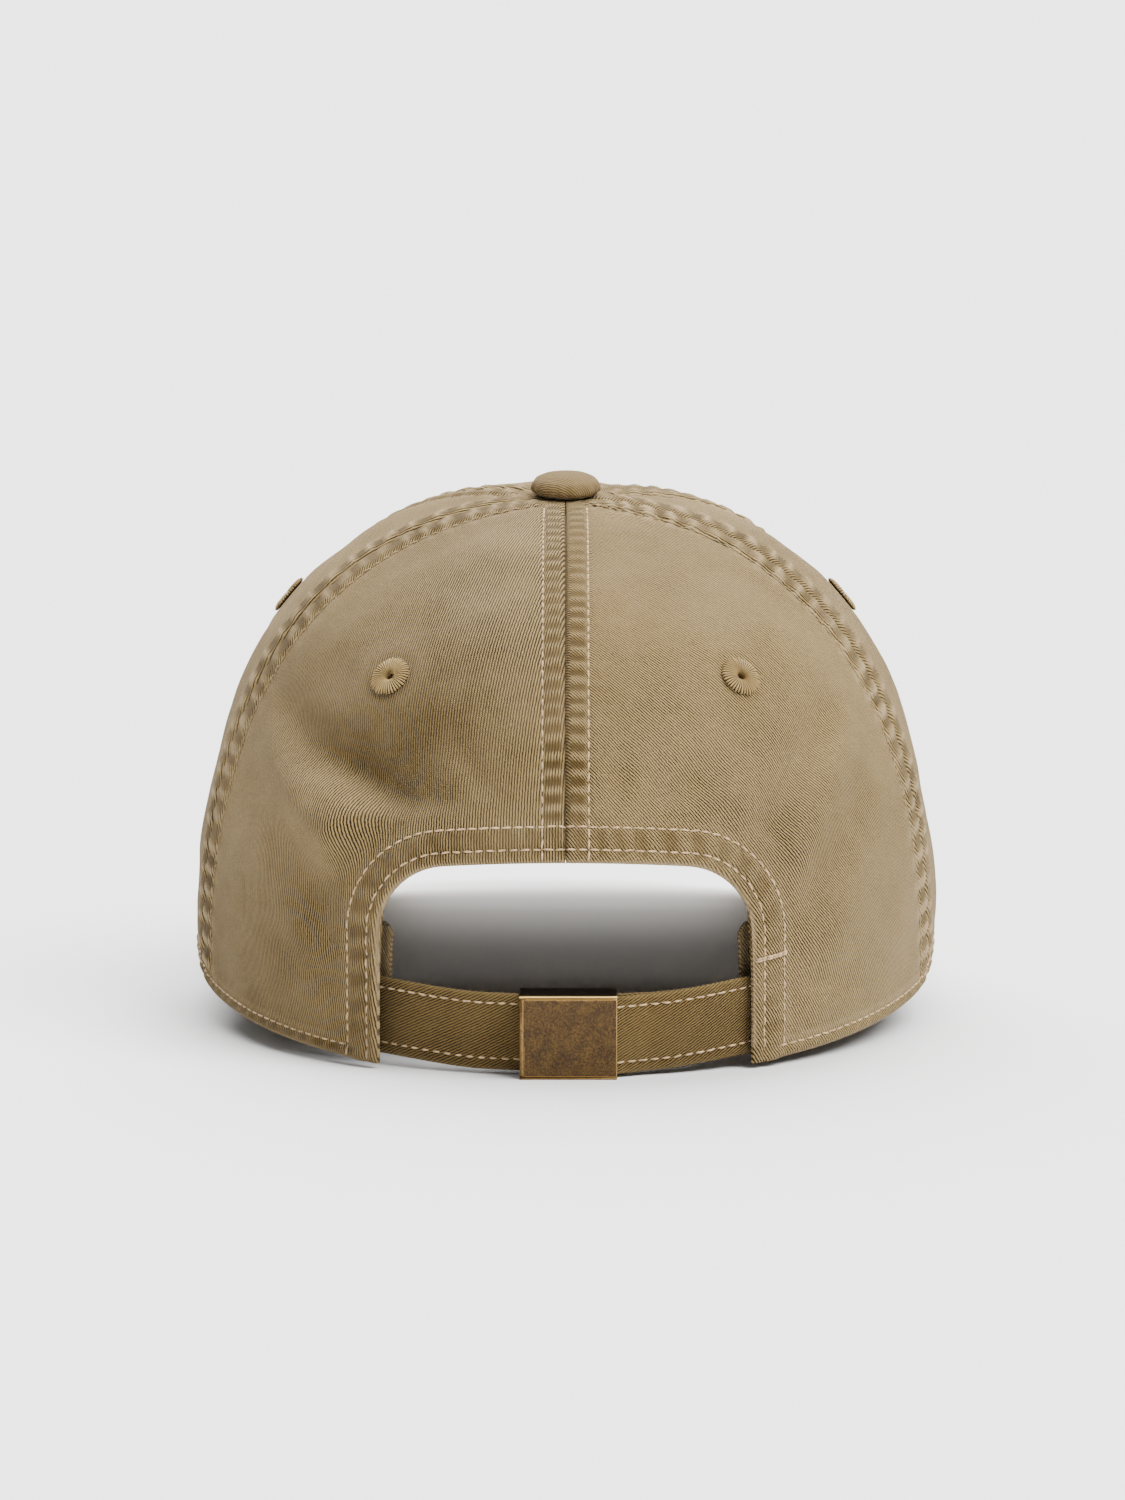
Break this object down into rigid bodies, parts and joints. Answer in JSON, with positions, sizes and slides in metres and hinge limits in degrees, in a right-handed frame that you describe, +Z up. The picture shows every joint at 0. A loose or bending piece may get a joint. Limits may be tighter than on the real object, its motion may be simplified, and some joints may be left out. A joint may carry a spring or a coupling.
{
  "type": "baseball cap",
  "caption": "Six-panel cotton twill baseball cap with a curved peak, arched back opening and a strap closed by a hinged brass clasp.",
  "frame": {"origin": "on the table, under the middle of the cap's bounding box", "axes": "+Z up, +Y towards the tip of the peak, +X towards the wearer's right; the cap stands on the bottom of its clasp and on the peak's front corners"},
  "size_m": [0.1736, 0.2744, 0.1261],
  "materials": {
    "twill": "washed cotton twill",
    "lining_mesh": "stiffened open mesh",
    "tape": "bias-cut seam tape",
    "sweatband_twill": "folded cotton twill",
    "embroidery": "satin stitch",
    "strap_twill": "washed cotton twill, darker",
    "brass": "antiqued, rubbed bright at the edges",
    "button_metal": "plain",
    "board": "plain sheet"
  },
  "bodies": {
    "crown": {"arch_facing": "tape", "button_cover": "twill", "button_rivet": "button_metal", "button_shell": "button_metal", "button_washer": "button_metal", "clasp_frame": "brass", "clasp_pin": "brass", "eyelet_back_left": "embroidery", "eyelet_back_right": "embroidery", "eyelet_front_left": "embroidery", "eyelet_front_right": "embroidery", "eyelet_side_left": "embroidery", "eyelet_side_right": "embroidery", "lining_front_left": "lining_mesh", "lining_front_right": "lining_mesh", "panel_back_left": "twill", "panel_back_right": "twill", "panel_front_left": "twill", "panel_front_right": "twill", "panel_side_left": "twill", "panel_side_right": "twill", "peak_board": "board", "peak_top_cloth": "twill", "peak_under_cloth": "twill", "seam_tape_center_back": "tape", "seam_tape_center_front": "tape", "seam_tape_front_left": "tape", "seam_tape_front_right": "tape", "seam_tape_rear_left": "tape", "seam_tape_rear_right": "tape", "short_strap": "strap_twill", "sweatband": "sweatband_twill"},
    "long_strap": {"long_strap": "strap_twill"},
    "clasp_cover": {"clasp_cover": "brass"}
  },
  "joints": [
    {"name": "strap_slide", "type": "hinge", "parent": "crown", "child": "long_strap", "pos_m": [0.0006, -0.05985, 0.01], "axis": [0, 0, 1], "range_deg": [-10, 10]},
    {"name": "clasp_cover_hinge", "type": "hinge", "parent": "crown", "child": "clasp_cover", "pos_m": [-0.009, -0.13545, 0.00956], "axis": [0, 0.0698, -0.9976], "range_deg": [0, 110]}
  ]
}
